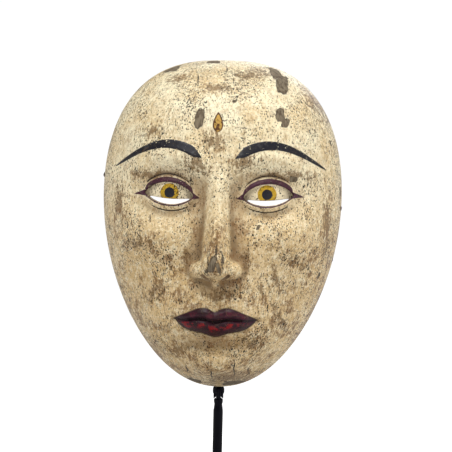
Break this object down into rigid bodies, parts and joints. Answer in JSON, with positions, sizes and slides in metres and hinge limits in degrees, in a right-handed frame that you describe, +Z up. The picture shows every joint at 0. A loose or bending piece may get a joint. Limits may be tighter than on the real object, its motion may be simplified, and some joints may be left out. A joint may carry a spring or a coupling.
{
  "type": "carved theatre mask on a display stand",
  "caption": "Hollow carved and painted wooden face mask on an adjustable black steel stand that swivels, slides in height and tilts.",
  "frame": {"origin": "middle of the stand's footprint, on the surface the foot pads stand on", "axes": "+Z up along the post, the mask looks along -Y, +X to the viewer's right"},
  "size_m": [0.1494, 0.12, 0.335],
  "materials": {
    "painted_wood": "aged cream gesso and paint over carved wood, cracked, chipped and stained; black brows, dark red lids and lips, amber irises",
    "black_steel": "satin black lacquer on steel",
    "bright_steel": "darkened steel screws",
    "rubber": "matt black rubber",
    "felt": "black felt",
    "iron": "rusted forged iron tacks",
    "leather": "worn brown leather"
  },
  "bodies": {
    "base": {"base_plate": "black_steel", "foot_pad_front_left": "rubber", "foot_pad_front_right": "rubber", "foot_pad_rear_left": "rubber", "foot_pad_rear_right": "rubber", "post_socket": "black_steel", "flange_screw_1": "bright_steel", "flange_screw_2": "bright_steel", "flange_screw_3": "bright_steel"},
    "socket_knob": {"socket_thumb_screw": "black_steel"},
    "column": {"outer_tube": "black_steel", "lock_collar": "black_steel"},
    "collar_knob": {"collar_thumb_screw": "black_steel"},
    "rod": {"inner_rod": "black_steel"},
    "tilt_head": {"spine_bar": "black_steel", "pivot_pin": "bright_steel", "chin_pad": "felt", "upper_wire": "black_steel", "lower_wire": "black_steel", "upper_grub_screw": "bright_steel", "lower_grub_screw": "bright_steel", "upper_sleeve_left": "rubber", "upper_sleeve_right": "rubber", "lower_sleeve_left": "rubber", "lower_sleeve_right": "rubber"},
    "mask": {"mask_shell": "painted_wood", "left_tack_upper": "iron", "right_tack_upper": "iron", "right_tack_middle": "iron", "right_tack_middle_lower": "iron", "right_tack_lower": "iron", "bite_strap": "leather", "strap_tack_left": "iron", "strap_tack_right": "iron"}
  },
  "joints": [
    {"name": "socket_screw_turn", "type": "hinge", "parent": "base", "child": "socket_knob", "pos_m": [0, 0.035, 0.0306], "axis": [0, 1, 0], "range_deg": [0, 360]},
    {"name": "column_turn", "type": "hinge", "parent": "base", "child": "column", "pos_m": [0, 0.035, 0.05], "axis": [0, 0, 1], "continuous": true},
    {"name": "collar_screw_turn", "type": "hinge", "parent": "column", "child": "collar_knob", "pos_m": [0, 0.035, 0.0835], "axis": [0, 1, 0], "range_deg": [0, 360]},
    {"name": "rod_height", "type": "slide", "parent": "column", "child": "rod", "axis": [0, 0, 1], "range_m": [-0.025, 0.03]},
    {"name": "head_tilt", "type": "hinge", "parent": "rod", "child": "tilt_head", "pos_m": [0, 0.035, 0.1322], "axis": [1, 0, 0], "range_deg": [-15, 30]},
    {"name": "mask_lift", "type": "slide", "parent": "tilt_head", "child": "mask", "axis": [0, -0.9, 0.4359], "range_m": [0, 0.12]}
  ]
}
